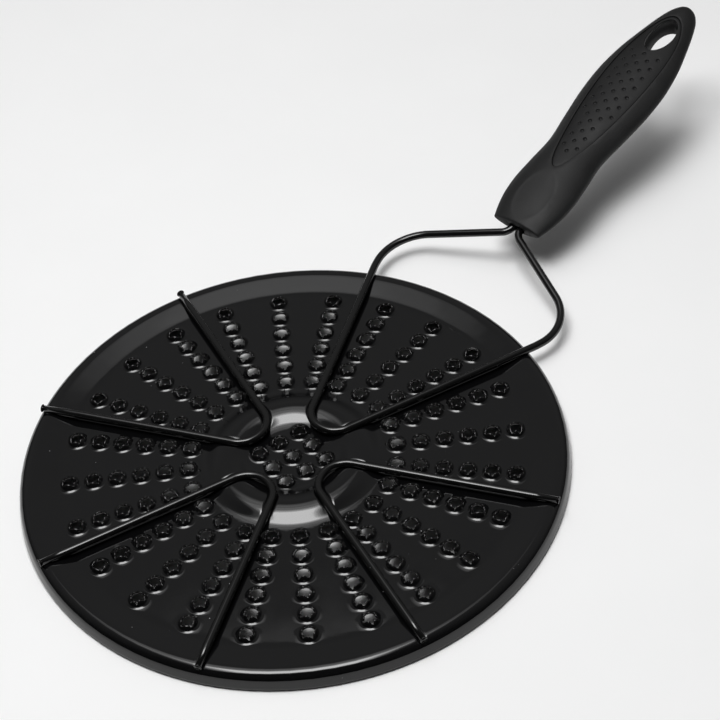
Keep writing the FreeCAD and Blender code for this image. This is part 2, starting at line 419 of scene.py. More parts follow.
def sweep(line: np.ndarray, radii: np.ndarray, sides: int) -> Skin:
    """A round bar along a line.

    Args:
        line: Points of the centre line.
        radii: Radius of the bar at each point.
        sides: Number of points round the bar.

    Returns:
        The bar's closed skin.
    """
    along = np.gradient(line, axis=0)
    along /= np.linalg.norm(along, axis=1)[:, None]
    across = unit(np.cross(along[0], (0.0, 0.0, 1.0)))
    angles = np.linspace(0, 2 * math.pi, sides, endpoint=False)
    rings = []
    for point, heading, radius in zip(line, along, radii):
        across = unit(across - heading * (across @ heading))
        up = np.cross(across, heading)
        ring = np.outer(np.cos(angles), across) + np.outer(np.sin(angles), up)
        rings.append(point + ring * radius)
    skin = Skin()
    skin.rows(np.array(rings), closed=True)
    fan = np.array([[0, k + 1, (k + 1) % sides + 1] for k in range(sides)])
    for point, ring in ((line[0], rings[0]), (line[-1], rings[-1])):
        skin.patch(np.concatenate([[point], ring]), fan)
    return skin


def keep(piece: bpy.types.Object, node: str, slot: Slot, finish: "Finish") -> bpy.types.Object:
    """Dress a piece and let it stand for a CAD node.

    Args:
        piece: The new piece.
        node: The CAD node it replaces.
        slot: Not used.
        finish: The finish it wears.

    Returns:
        The same piece.
    """
    piece.data.materials.append(finish.material())
    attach(piece, BODY)
    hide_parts(node)
    LOG.info("%s stands for %s: %d faces", piece.name, node, len(piece.data.polygons))
    return piece


# ---- finishes ----


@dataclass(frozen=True)
class Nodes:
    """A material's node tree, with short ways to add to it."""

    tree: bpy.types.NodeTree

    def add(self, kind: str, **settings: object) -> bpy.types.Node:
        """Add a node.

        Args:
            kind: Blender's name of the node type.
            settings: Properties of the node.

        Returns:
            The new node.
        """
        node = self.tree.nodes.new(kind)
        for name, value in settings.items():
            setattr(node, name, value)
        return node

    def join(self, output: bpy.types.NodeSocket, socket: bpy.types.NodeSocket) -> None:
        """Link an output to an input."""
        self.tree.links.new(output, socket)

    def place(self) -> bpy.types.NodeSocket:
        """Metre coordinates of the surface."""
        return self.add("ShaderNodeTexCoord").outputs["Object"]

    def noise(self, grain: float, detail: float, uneven: float = 0.5) -> bpy.types.NodeSocket:
        """A cloudy pattern.

        Args:
            grain: Size of one cloud, in millimetres.
            detail: Number of finer layers.
            uneven: Strength of the finer layers.

        Returns:
            The pattern's value.
        """
        node = self.add("ShaderNodeTexNoise")
        node.inputs["Scale"].default_value = 1 / (grain * MM)
        node.inputs["Detail"].default_value = detail
        node.inputs["Roughness"].default_value = uneven
        self.join(self.place(), node.inputs["Vector"])
        return node.outputs["Fac"]

    def cells(self, grain: float) -> bpy.types.NodeSocket:
        """Distance to the nearest of many scattered points.

        Args:
            grain: Distance between the points, in millimetres.

        Returns:
            The distance, as a share of that.
        """
        node = self.add("ShaderNodeTexVoronoi")
        node.inputs["Scale"].default_value = 1 / (grain * MM)
        self.join(self.place(), node.inputs["Vector"])
        return node.outputs["Distance"]

    def spread(
        self, value: bpy.types.NodeSocket, source: tuple[float, float], target: tuple[float, float]
    ) -> bpy.types.NodeSocket:
        """Stretch a value from one range to another.

        Args:
            value: The value.
            source: Its lowest and highest reading.
            target: What those become.

        Returns:
            The stretched value.
        """
        node = self.add("ShaderNodeMapRange")
        self.join(value, node.inputs["Value"])
        numbers = (*source, *target)
        for name, number in zip(("From Min", "From Max", "To Min", "To Max"), numbers):
            node.inputs[name].default_value = number
        return node.outputs["Result"]

    def work(self, kind: str, first: object, second: object) -> bpy.types.NodeSocket:
        """Combine two values.

        Args:
            kind: Name of the sum to do.
            first: A value or number.
            second: Another.

        Returns:
            The result.
        """
        node = self.add("ShaderNodeMath", operation=kind)
        for socket, value in zip(node.inputs, (first, second)):
            if isinstance(value, (int, float)):
                socket.default_value = value
            else:
                self.join(value, socket)
        return node.outputs[0]

    def tint(
        self, share: bpy.types.NodeSocket, dark: Sequence[float], light: Sequence[float]
    ) -> bpy.types.NodeSocket:
        """A colour between two others.

        Args:
            share: How much of the second colour.
            dark: The first colour.
            light: The second colour.

        Returns:
            The mixed colour.
        """
        node = self.add("ShaderNodeMix", data_type="RGBA")
        self.join(share, node.inputs["Factor"])
        node.inputs[6].default_value = (*dark, 1)
        node.inputs[7].default_value = (*light, 1)
        return node.outputs[2]

    def relief(self, height: bpy.types.NodeSocket, depth: float) -> bpy.types.NodeSocket:
        """A normal with fine relief on it.

        Args:
            height: Height pattern, nought to one.
            depth: Height of the relief in millimetres.

        Returns:
            The normal.
        """
        node = self.add("ShaderNodeBump")
        node.inputs["Strength"].default_value = 1.0
        node.inputs["Distance"].default_value = depth * MM
        self.join(height, node.inputs["Height"])
        return node.outputs["Normal"]


@dataclass(frozen=True)
class Finish:
    """What every finish has: a name and its main colour and gloss."""

    name: str
    colour: tuple[float, float, float]
    roughness: tuple[float, float]

    def material(self) -> bpy.types.Material:
        """Make the finish's material.

        Returns:
            The material, with its nodes.
        """
        material = bpy.data.materials.new(self.name)
        material.use_nodes = True
        material.diffuse_color = (*self.colour, 1)
        shader = material.node_tree.nodes["Principled BSDF"]
        shader.inputs["Base Color"].default_value = (*self.colour, 1)
        self.dress(Nodes(material.node_tree), shader)
        return material

    def dress(self, nodes: Nodes, shader: bpy.types.Node) -> None:
        """Add the finish's own pattern. Each kind of finish has its own."""
        raise NotImplementedError


@dataclass(frozen=True)
class Enamel(Finish):
    """Glossy fired enamel: slightly wavy, with dust specks and duller torn edges."""

    wave: float = 0.016
    wave_grain: float = 9.0
    speck_spacing: float = 7.0
    speck_share: float = 0.035
    speck_colour: tuple[float, float, float] = (0.45, 0.45, 0.46)
    coat: float = 0.0
    edge_colour: tuple[float, float, float] = (0.006, 0.0055, 0.0055)
    edge_roughness: float = 0.04

    def dress(self, nodes: Nodes, shader: bpy.types.Node) -> None:
        """Wave, specks, and wear along torn edges.

        Args:
            nodes: The material's nodes.
            shader: Its surface shader.
        """
        wear = nodes.add("ShaderNodeAttribute", attribute_name="wear").outputs["Fac"]
        clouds = nodes.noise(self.wave_grain * 2, 3.0)
        speck = nodes.spread(
            nodes.cells(self.speck_spacing), (self.speck_share * 0.5, self.speck_share), (1.0, 0.0)
        )
        dust = nodes.work("MULTIPLY", speck, nodes.spread(clouds, (0.45, 0.6), (0.0, 1.0)))
        dark = tuple(0.8 * part for part in self.colour)
        base = nodes.tint(clouds, dark, self.colour)
        dusty = nodes.add("ShaderNodeMix", data_type="RGBA")
        nodes.join(dust, dusty.inputs["Factor"])
        nodes.join(base, dusty.inputs[6])
        dusty.inputs[7].default_value = (*self.speck_colour, 1)
        worn = nodes.add("ShaderNodeMix", data_type="RGBA")
        nodes.join(wear, worn.inputs["Factor"])
        nodes.join(dusty.outputs[2], worn.inputs[6])
        worn.inputs[7].default_value = (*self.edge_colour, 1)
        nodes.join(worn.outputs[2], shader.inputs["Base Color"])
        gloss = nodes.spread(clouds, (0.35, 0.65), self.roughness)
        gloss = nodes.work("ADD", gloss, nodes.work("MULTIPLY", dust, 0.5))
        gloss = nodes.work("ADD", gloss, nodes.work("MULTIPLY", wear, self.edge_roughness))
        nodes.join(gloss, shader.inputs["Roughness"])
        wave = nodes.noise(self.wave_grain, 1.0, 0.3)
        pimple = nodes.work("MULTIPLY", dust, 2.0)
        nodes.join(nodes.relief(nodes.work("ADD", wave, pimple), self.wave), shader.inputs["Normal"])
        shader.inputs["IOR"].default_value = 1.5
        shader.inputs["Coat Weight"].default_value = self.coat
        shader.inputs["Coat Roughness"].default_value = 0.04


@dataclass(frozen=True)
class Moulded(Finish):
    """Matte moulded plastic with a fine spark-eroded grain and a few rubbed clouds."""

    grain: float = 0.35
    grain_depth: float = 0.02
    rubbed: float = 1.5
    shine: float = 0.3
    sheen: float = 0.0

    def dress(self, nodes: Nodes, shader: bpy.types.Node) -> None:
        """Grain in relief, and slight clouds in colour and gloss.

        Args:
            nodes: The material's nodes.
            shader: Its surface shader.
        """
        fine = nodes.noise(self.grain, 2.0, 0.6)
        clouds = nodes.noise(14.0, 4.0, 0.6)
        both = nodes.work("ADD", nodes.work("MULTIPLY", fine, 0.6), nodes.work("MULTIPLY", clouds, 0.4))
        dark = tuple(0.72 * part for part in self.colour)
        light = tuple(min(1.0, self.rubbed * part) for part in self.colour)
        share = nodes.spread(both, (0.35, 0.65), (0.0, 1.0))
        nodes.join(nodes.tint(share, dark, light), shader.inputs["Base Color"])
        nodes.join(nodes.spread(clouds, (0.3, 0.7), self.roughness), shader.inputs["Roughness"])
        nodes.join(nodes.relief(fine, self.grain_depth), shader.inputs["Normal"])
        shader.inputs["IOR"].default_value = 1.5
        shader.inputs["Specular IOR Level"].default_value = self.shine
        shader.inputs["Sheen Weight"].default_value = self.sheen
        shader.inputs["Sheen Roughness"].default_value = 0.5


# ---- plate and wires ----


@dataclass(frozen=True)
class WireLine:
    """Where the wires run over the plate, shared by the wires and the channels under them."""

    radius: float
    height: float
    leg_angle: float = math.radians(22.5)
    bend_centre: float = 29.0

    @property
    def bend(self) -> float:
        """Radius of the bend near the middle of the plate."""
        return self.bend_centre * math.sin(self.leg_angle)

    def leg(self, reach: float, side: int) -> np.ndarray:
        """A point on a straight leg.

        Args:
            reach: Distance from the plate's axis.
            side: One or minus one, for the leg's side of the handle's direction.

        Returns:
            The point.
        """
        angle = self.leg_angle * side
        return np.array([reach * math.cos(angle), reach * math.sin(angle), self.height])

    def away(self, x: np.ndarray, y: np.ndarray) -> np.ndarray:
        """Distance in plan to the nearest wire's centre line.

        Args:
            x: Places along the handle's direction.
            y: Places across it.

        Returns:
            The distances.
        """
        radius = np.hypot(x, y)
        angle = np.arctan2(y, x)
        quarter = np.abs((angle + math.pi / 4) % (math.pi / 2) - math.pi / 4)
        along = radius * np.cos(quarter - self.leg_angle)
        from_leg = np.abs(radius * np.sin(quarter - self.leg_angle))
        px, py = radius * np.cos(quarter), radius * np.sin(quarter)
        from_bend = np.abs(np.hypot(px - self.bend_centre, py) - self.bend)
        tangent = self.bend_centre * math.cos(self.leg_angle)
        return np.where(along > tangent, from_leg, from_bend)


@dataclass
class PiercedPlate:
    """The enamelled plate: pressed ring, rows of torn collars, rim, skirt and hem."""

    radius: float
    rim_top: float
    wires: WireLine
    finish: Enamel
    sheet: float = 0.9
    flat_height: float = 6.0
    slope_width: float = 17.1
    rim_width: float = 6.4
    rim_dip: float = 0.15
    skirt_flare: float = 1.6
    hem_width: float = 2.8
    hem_rise: float = 2.2
    ring_radius: float = 28.0
    ring_half_width: float = 9.8
    ring_rise: float = 3.0
    bends: tuple[float, ...] = (12.0, 14.0, 12.0, 20.0, 8.0, 4.0, 1.0, 1.0)
    channel_width: float = 4.5
    channel_side: float = 1.7
    channel_lip: float = 0.5
    rows: int = 24
    first_hole: float = 44.0
    pitch: float = 10.0
    holes_in_row: int = 6
    cell_inner: float = 39.0
    middle_grid: int = 3
    middle_turn: float = -15.0
    middle_edge: float = 19.2
    arc_steps: int = 12
    side_steps: int = 6
    foot_radius: float = 4.98
    collar: tuple[tuple[float, float], ...] = (
        (4.9, 0.015),
        (4.72, 0.075),
        (4.45, 0.18),
        (4.15, 0.305),
        (3.92, 0.43),
        (3.76, 0.66),
        (3.5, 1.08),
        (3.16, 1.52),
        (2.78, 1.98),
        (2.35, 2.45),
    )
    tip_heights: tuple[float, float] = (2.1, 2.6)
    notch_heights: tuple[float, float] = (0.85, 1.35)
    lip_wall: float = 0.4
    seed: int = 7

    def outline(self) -> np.ndarray:
        """The plate's top line, from its axis out to the end of the hem.

        Returns:
            Rows of radius and height.
        """
        half = self.sheet / 2
        middle = self.flat_height - half
        crest_bend = self.bends[1]
        drop = crest_bend - self.ring_rise
        reach = math.hypot(self.ring_half_width, drop)
        slope = math.asin(crest_bend / reach) - math.atan2(drop, self.ring_half_width)
        rim = self.rim_top - half
        skirt = self.radius - half
        corners = [
            (0.0, middle),
            (self.ring_radius - self.ring_half_width, middle),
            (self.ring_radius, middle + self.ring_half_width * math.tan(slope)),
            (self.ring_radius + self.ring_half_width, middle),
            (self.radius - self.slope_width, middle),
            (self.radius - self.rim_width, rim - self.rim_dip),
            (skirt - self.skirt_flare, rim),
            (skirt, half),
            (skirt - self.hem_width, half),
            (skirt - self.hem_width, half + self.hem_rise),
        ]
        turns_left = (True, False, True, True, False, False, False, False)
        bends = [b - half if left else b + half for b, left in zip(self.bends, turns_left)]
        return rounded_path(moved_sideways(np.array(corners), half), bends, 0.45)

    def heights(self, radius: np.ndarray) -> np.ndarray:
        """Height of the unpierced top inside the rim.

        Args:
            radius: Distances from the axis.

        Returns:
            The heights.
        """
        line = self.outline()
        inner = line[: int(np.argmax(line[:, 0] > self.radius - self.rim_width))]
        rising = np.maximum.accumulate(inner[:, 0])
        return np.interp(radius, rising, inner[:, 1])

    def channelled(self, points: np.ndarray) -> np.ndarray:
        """Points of the top, pressed down where a wire lies in it.

        Args:
            points: Rows of coordinates.

        Returns:
            The same points, some of them lower.
        """
        away = self.wires.away(points[..., 0], points[..., 1])
        bend = self.channel_width / 2
        floor = self.wires.height - self.wires.radius - 0.04
        turn = math.atan(self.channel_side)
        edge = bend * math.sin(turn)
        curved = floor + bend - np.sqrt(np.maximum(bend**2 - np.minimum(away, edge) ** 2, 0))
        channel = curved + np.maximum(away - edge, 0) * self.channel_side
        points = points.copy()
        points[..., 2] = soft_min(points[..., 2], channel, self.channel_lip)
        return points

    def ring_of(self, radius: float, angles: np.ndarray, height: float) -> np.ndarray:
        """Points of one circle round the axis.

        Args:
            radius: Radius of the circle.
            angles: Angles of the points.
            height: Its height.

        Returns:
            The points.
        """
        level = np.full(len(angles), height)
        return np.stack([radius * np.cos(angles), radius * np.sin(angles), level], axis=1)

    def collar_rings(self, rng: np.random.Generator, turn: float) -> tuple[np.ndarray, np.ndarray]:
        """One torn collar round a hole, at the origin.

        Args:
            rng: Source of the tears.
            turn: Angle of the collar's first point.

        Returns:
            Rings of points from the foot up, and a wear value for each.
        """
        sides = 2 * (self.arc_steps + self.side_steps)
        angles = turn + np.arange(sides) * 2 * math.pi / sides
        petals = int(rng.integers(4, 7))
        shift = np.sort(np.arange(petals) + rng.uniform(-0.18, 0.18, petals))
        place = (np.arange(sides) * petals / sides + rng.uniform(0, petals)) % petals
        which = (np.searchsorted(shift, place, side="right") - 1) % petals
        start = shift[which]
        width = (shift[(which + 1) % petals] - start) % petals
        share = ((place - start) % petals) / width
        tip = rng.uniform(*self.tip_heights, petals)[which]
        notch = rng.uniform(*self.notch_heights, petals)[which]
        point = rng.uniform(1.5, 2.3, petals)[which]
        torn = notch + (tip - notch) * (1 - np.abs(2 * share - 1) ** point)
        reach = torn / self.collar[-1][1] + rng.uniform(-0.05, 0.05, sides)
        lean = rng.uniform(-0.15, 0.2, petals)[which]
        profile = np.array([(self.foot_radius, 0.0), *self.collar])
        top = profile[-1, 1]
        rings = []
        wear = []
        for radius, height in profile:
            raised = height * (1 + (reach - 1) * (height / top) ** 0.7)
            out = np.interp(raised, profile[:, 1], profile[:, 0]) + lean * (raised / top) ** 2
            rings.append(np.stack([out * np.cos(angles), out * np.sin(angles), raised], axis=1))
            wear.append(np.full(sides, max(0.0, height / top - 0.6) / 0.4 * 0.8))
        return np.array(rings), np.array(wear)

    def pierced_cell(
        self, skin: Skin, edge: np.ndarray, centre: np.ndarray, rng: np.random.Generator
    ) -> None:
        """The sheet around one hole, out to the edge of its own patch.

        Args:
            skin: Where the patch goes.
            edge: Points round the patch, in plan.
            centre: Centre of the hole, in plan.
            rng: Source of the tears.
        """
        turn = math.atan2(edge[0, 1] - centre[1], edge[0, 0] - centre[0])
        rings, wear = self.collar_rings(rng, turn)
        rings[..., :2] += centre
        foot = rings[0, :, :2]
        flat = [edge + (foot - edge) * share for share in (0.0, 0.45, 0.8)]
        plan = np.concatenate([np.array(flat), rings[..., :2]])
        raised = np.concatenate([np.zeros((3, len(edge))), rings[..., 2]])
        marks = np.concatenate([np.zeros((3, len(edge))), wear])
        height = self.heights(np.hypot(plan[..., 0], plan[..., 1])) + raised
        points = np.dstack([plan, height])
        skin.rows(points, closed=True, mark=marks)

    def rows_of_holes(self, skin: Skin) -> None:
        """The band of the plate that the rows of holes are in."""
        rng = np.random.default_rng(self.seed)
        width = 2 * math.pi / self.rows
        for row in range(self.rows):
            middle = row * width
            arc = middle + np.linspace(-width / 2, width / 2, self.arc_steps + 1)
            for place in range(self.holes_in_row):
                inner = self.cell_inner + place * self.pitch
                side = np.linspace(inner, inner + self.pitch, self.side_steps + 1)
                corners = [
                    (side[:-1], np.full(self.side_steps, arc[0])),
                    (np.full(self.arc_steps, inner + self.pitch), arc[:-1]),
                    (side[::-1][:-1], np.full(self.side_steps, arc[-1])),
                    (np.full(self.arc_steps, inner), arc[::-1][:-1]),
                ]
                radius = np.concatenate([part[0] for part in corners])
                angle = np.concatenate([part[1] for part in corners])
                edge = np.stack([radius * np.cos(angle), radius * np.sin(angle)], axis=1)
                reach = self.first_hole + place * self.pitch
                centre = np.array([reach * math.cos(middle), reach * math.sin(middle)])
                self.pierced_cell(skin, edge, centre, rng)

    def middle(self, skin: Skin) -> None:
        """The flat middle of the plate with its square of nine holes."""
        rng = np.random.default_rng(self.seed + 1)
        lines = self.arc_steps * self.rows
        angles = (np.arange(lines) / lines - 0.5 / self.rows) * 2 * math.pi
        edge = self.ring_of(self.middle_edge, angles, 0.0)[:, :2]
        turn = math.radians(self.middle_turn)
        spin = np.array([[math.cos(turn), math.sin(turn)], [-math.sin(turn), math.cos(turn)]])
        half = (self.middle_grid - 1) / 2
        steps = (np.arange(self.middle_grid) - half) * self.pitch
        centres = np.array([(a, b) for a in steps for b in steps]) @ spin
        feet = []
        for centre in centres:
            rings, wear = self.collar_rings(rng, 0.0)
            rings[..., :2] += centre
            rings[..., 2] += self.heights(np.hypot(rings[..., 0], rings[..., 1]))
            feet.append(rings[0, :, :2])
            skin.rows(rings, closed=True, mark=wear)
        spots = np.arange(-self.middle_edge, self.middle_edge, 1.1)
        fill = np.array([(a, b) for a in spots for b in spots])
        fill = fill[np.hypot(fill[:, 0], fill[:, 1]) < self.middle_edge - 0.6]
        fill = clear_of(fill, feet, 0.5)
        for centre in centres:
            fill = fill[np.hypot(*(fill - centre).T) > self.foot_radius]
        flat, triangles = triangles_between(edge, feet, [], fill)
        height = self.heights(np.hypot(flat[:, 0], flat[:, 1]))
        skin.patch(np.column_stack([flat, height]), triangles)

    def ring(self, skin: Skin) -> None:
        """The raised ring, with the wires' bends let into it."""
        lines = self.arc_steps * self.rows
        angles = (np.arange(lines) / lines - 0.5 / self.rows) * 2 * math.pi
        radii = np.linspace(self.cell_inner, self.middle_edge, 36)
        rings = [self.ring_of(r, angles, float(self.heights(np.array([r]))[0])) for r in radii]
        skin.rows(self.channelled(np.array(rings)), closed=True)

    def rim(self, skin: Skin) -> None:
        """The slope, rim, skirt and hem, with a channel under each wire."""
        line = divided(self.outline(), 1.1)
        start = self.cell_inner + self.holes_in_row * self.pitch
        first = int(np.argmax(line[:, 0] > start + 0.5))
        height = float(self.heights(np.array([start]))[0])
        line = np.concatenate([[(start, height)], line[first:]])
        half = np.array([0.3, 0.6, 0.9, 1.2, 1.5, 1.85, 2.3, 3.0, 4.0, 5.5, 7.5, 10.5, 14.0, 18.0])
        spots = np.radians(np.concatenate([-half[::-1], [0.0], half, [22.5]]))
        legs = (np.arange(8) + 0.5) * math.pi / 4
        angles = np.sort((legs[:, None] + spots[None, :]).reshape(-1))
        rings = np.array([self.ring_of(radius, angles, up) for radius, up in line[:0:-1]])
        skin.rows(self.channelled(rings), closed=True)
        lines = self.arc_steps * self.rows
        inner = (np.arange(lines) / lines - 0.5 / self.rows) * 2 * math.pi
        points = np.concatenate([self.ring_of(start, inner, height), rings[-1]])
        skin.patch(points, zipped(inner, angles))

    def build(self) -> bpy.types.Object:
        """Make, thicken and dress the plate.

        Returns:
            The plate.
        """
        skin = Skin()
        self.middle(skin)
        self.ring(skin)
        self.rows_of_holes(skin)
        self.rim(skin)
        plate = skin.piece("toasting_plate", closed=False)
        thicken(plate, self.sheet, self.lip_wall)
        return keep(plate, "pierced_plate", Slot.PLATE, self.finish)


@dataclass
class BentWire:
    """One enamelled wire along a line of corners and bends."""

    name: str
    node: str
    corners: np.ndarray
    bends: Sequence[float]
    radius: float
    finish: Enamel
    bevel: float = 0.4
    sides: int = 24
    step: float = 0.5

    def build(self) -> bpy.types.Object:
        """Sweep the wire, blunt its two ends and dress it.

        Returns:
            The wire.
        """
        line = divided(rounded_path(self.corners, self.bends, self.step), 12.0)
        turn = np.linspace(math.pi / 2, math.radians(12), 4)
        inset = self.bevel * (1 - np.sin(turn[::-1]))
        narrow = self.radius - self.bevel * (1 - np.cos(turn[::-1]))
        start = line[0] + unit(line[1] - line[0]) * inset[:, None]
        end = line[-1] + unit(line[-2] - line[-1]) * inset[::-1][:, None]
        line = np.concatenate([start, line[1:-1], end])
        radii = np.full(len(line), self.radius)
        radii[: len(turn)] = narrow
        radii[-len(turn) :] = narrow[::-1]
        wire = sweep(line, radii, self.sides).piece(self.name)
        return keep(wire, self.node, Slot.WIRE, self.finish)


# ---- handle ----


@dataclass
class MouldedHandle:
    """The handle's body and the dimpled leaf let into its top, in its own directions.

    A point of the handle is given along it from its mouth, across it, and up.
    """

    body_finish: Moulded
    leaf_finish: Moulded
    length: float = 141.0
    tilt: float = math.radians(14.9)
    crown: float = 1.2
    flatness: float = 0.22
    stations: tuple[tuple[float, float, float], ...] = (
        (0.00, 12.4, 4.0),
        (0.03, 13.9, 5.0),
        (0.08, 15.7, 6.3),
        (0.15, 16.6, 7.4),
        (0.23, 15.9, 7.9),
        (0.33, 14.7, 8.1),
        (0.43, 16.2, 8.4),
        (0.54, 17.9, 8.6),
        (0.65, 18.2, 8.4),
        (0.75, 16.5, 7.7),
        (0.84, 13.3, 6.8),
        (0.92, 9.8, 5.8),
        (0.96, 7.4, 4.9),
        (0.985, 4.7, 3.6),
        (1.00, 0.0, 0.0),
    )
    mouth_round: float = 1.0
    slot_half_width: float = 4.4
    slot_half_height: float = 2.4
    slot_depth: float = 4.0
    leaf_start: float = 32.0
    leaf_end: float = 131.0
    leaf_half_width: float = 11.6
    leaf_taper: float = 0.26
    leaf_step: float = 0.6
    leaf_depth: float = 2.4
    leaf_gap: float = 0.15
    leaf_edge: float = 0.35
    dimple_radius: float = 0.95
    dimple_depth: float = 0.7
    dimple_columns: int = 5
    dimple_across: float = 3.7
    dimple_along: float = 6.3
    dimple_start: float = 10.0
    dimple_margin: float = 1.6
    thumb_place: float = 15.2
    thumb_length: float = 26.6
    thumb_width: float = 17.0
    thumb_depth: float = 0.9
    hole_place: float = 118.6
    hole_length: float = 21.0
    hole_width: float = 12.0
    hole_edge: float = 0.5
    mouth: tuple[float, float] = (0.0, 0.0)

    def half_sizes(self, along: np.ndarray) -> tuple[np.ndarray, np.ndarray]:
        """Half width and half thickness at places along the handle.

        Args:
            along: The places.

        Returns:
            The half widths and the half thicknesses.
        """
        share, width, thickness = np.array(self.stations[::-1]).T
        reach = np.sqrt(1 - share)
        places = np.sqrt(np.clip(1 - np.asarray(along, float) / self.length, 0, 1))
        return smooth_between(places, reach, width), smooth_between(places, reach, thickness)

    def section(self, along: np.ndarray, angle: np.ndarray, trim: float = 0.0) -> np.ndarray:
        """Points of the outside.

        Args:
            along: Places along the handle.
            angle: Angles round its section.
            trim: How much smaller than the outside the section is.

        Returns:
            Rows of along, across and up.
        """
        width, thickness = self.half_sizes(along)
        width, thickness = np.maximum(width - trim, 0), np.maximum(thickness - trim, 0)
        up = thickness * np.sin(angle) * (1 - self.flatness * np.cos(angle) ** 2)
        across = width * np.cos(angle)
        return np.stack([np.broadcast_to(along, across.shape), across, up + self.crown], axis=-1)

    def angle_at(self, plan: np.ndarray, face: Face) -> np.ndarray:
        """Angle round the section of places in plan.

        Args:
            plan: Rows of along and across.
            face: The side of the handle.

        Returns:
            The angles.
        """
        width, _ = self.half_sizes(plan[:, 0])
        angle = np.arccos(np.clip(plan[:, 1] / width, -1, 1))
        return angle if face is Face.TOP else 2 * math.pi - angle

    def on(self, plan: np.ndarray, face: Face, sink: float | np.ndarray = 0.0) -> np.ndarray:
        """Points on the outside over places in plan, or sunk below them.

        Args:
            plan: Rows of along and across.
            face: The side of the handle.
            sink: How far below the outside.

        Returns:
            Rows of along, across and up.
        """
        points = self.section(plan[:, 0], self.angle_at(plan, face))
        points[:, 2] -= sink
        return points

    def dished(self, points: np.ndarray) -> np.ndarray:
        """Points of the top, lowered inside the thumb dish.

        Args:
            points: Rows of along, across and up.

        Returns:
            The lowered points.
        """
        reach = (points[..., 0] - self.thumb_place) / (self.thumb_length / 2)
        side = points[..., 1] / (self.thumb_width / 2)
        share = np.clip(1 - reach**2 - side**2, 0, 1)
        points = points.copy()
        points[..., 2] -= self.thumb_depth * share**0.8
        return points

    def placed(self, points: np.ndarray) -> np.ndarray:
        """Handle points in the part's own directions.

        Args:
            points: Rows of along, across and up.

        Returns:
            Rows of millimetre coordinates.
        """
        cosine, sine = math.cos(self.tilt), math.sin(self.tilt)
        along, across, up = points[..., 0], points[..., 1], points[..., 2]
        x = self.mouth[0] + along * cosine - up * sine
        z = self.mouth[1] + along * sine + up * cosine
        return np.stack([x, across, z], axis=-1)

    def leaf(self, inset: float, count: int = 150) -> np.ndarray:
        """The leaf's outline in plan.

        Args:
            inset: How far inside the recess's edge, less than nought for outside.
            count: Number of points.

        Returns:
            Rows of along and across.
        """
        angle = np.linspace(0, 2 * math.pi, count, endpoint=False)
        middle = (self.leaf_start + self.leaf_end) / 2
        half = (self.leaf_end - self.leaf_start) / 2 - inset
        across = (self.leaf_half_width - inset) * np.sin(angle) * (1 + self.leaf_taper * np.cos(angle))
        return np.column_stack([middle + half * np.cos(angle), across])

    def oval(
        self, place: float, length: float, width: float, grow: float = 0.0, count: int = 64
    ) -> np.ndarray:
        """An oval outline in plan.

        Args:
            place: Its middle, along the handle.
            length: Its length.
            width: Its width.
            grow: How far outside that size the outline lies.
            count: Number of points.

        Returns:
            Rows of along and across.
        """
        angle = np.linspace(0, 2 * math.pi, count, endpoint=False)
        along = place + (length / 2 + grow) * np.cos(angle)
        return np.column_stack([along, (width / 2 + grow) * np.sin(angle)])

    def hole(self, grow: float = 0.0) -> np.ndarray:
        """The hang hole's outline in plan."""
        return self.oval(self.hole_place, self.hole_length, self.hole_width, grow)

    def half_shell(self, skin: Skin, face: Face, holes: list[np.ndarray], creases: list[np.ndarray]) -> None:
        """The top or underside of the body, from near its mouth to its tip.

        Args:
            skin: Where the patch goes.
            face: Which side.
            holes: Outlines in plan that are left open.
            creases: Outlines in plan that the faces follow.
        """
        girth = 14.0
        low, high = face.value
        bend = 0.42
        straight = np.arange(self.mouth_round, self.length * (1 - bend**2), 1.7)
        tip = self.length * (1 - np.linspace(bend, 0, 16) ** 2)
        spots = np.concatenate([straight, tip])
        around = np.linspace(low, high, 33)
        rim = np.concatenate(
            [
                np.column_stack([spots, np.full(len(spots), low)]),
                np.column_stack([np.full(31, spots[-1]), around[1:-1]]),
                np.column_stack([spots[::-1], np.full(len(spots), high)]),
                np.column_stack([np.full(31, spots[0]), around[1:-1][::-1]]),
            ]
        )
        scale = np.array([1.0, girth])
        loops = [np.column_stack([loop[:, 0], self.angle_at(loop, face)]) * scale for loop in holes]
        folds = [np.column_stack([loop[:, 0], self.angle_at(loop, face)]) * scale for loop in creases]
        grid = np.array([(a, b) for a in spots[1:-1] for b in around[1:-1]]) * scale
        grid = clear_of(grid, loops + folds, 0.75)
        flat, triangles = triangles_between(rim * scale, loops, folds, grid)
        points = self.section(flat[:, 0], flat[:, 1] / girth)
        if face is Face.TOP:
            points = self.dished(points)
        skin.patch(self.placed(points), triangles)

    def mouth_end(self, skin: Skin) -> None:
        """The rounded end with the slot that the wires go into."""
        around = np.concatenate([np.linspace(*face.value, 33)[:-1] for face in Face])
        turn = np.linspace(0, math.pi / 2, 6)
        rings = []
        for angle in turn:
            along = self.mouth_round * (1 - math.sin(angle))
            trim = self.mouth_round * (1 - math.cos(angle))
            base = self.section(np.array(self.mouth_round), around, trim)
            base[:, 0] = along
            rings.append(base if angle else self.dished(base))
        skin.rows(self.placed(np.array(rings)), closed=True)
        bend = np.linspace(-math.pi / 2, math.pi / 2, 9)
        half, high = self.slot_half_width - self.slot_half_height, self.slot_half_height
        right = np.column_stack([half + high * np.cos(bend), high * np.sin(bend)])
        slot = np.concatenate([right, -right])
        face = rings[-1][:, 1:]
        flat, triangles = triangles_between(face, [slot], [], np.empty((0, 2)))
        skin.patch(self.placed(np.column_stack([np.zeros(len(flat)), flat])), triangles)
        walls = [np.column_stack([np.full(len(slot), depth), slot]) for depth in (0.0, 0.4, self.slot_depth)]
        skin.rows(self.placed(np.array(walls)), closed=True)
        floor, triangles = triangles_between(slot, [], [], np.empty((0, 2)))
        skin.patch(self.placed(np.column_stack([np.full(len(floor), self.slot_depth), floor])), triangles)

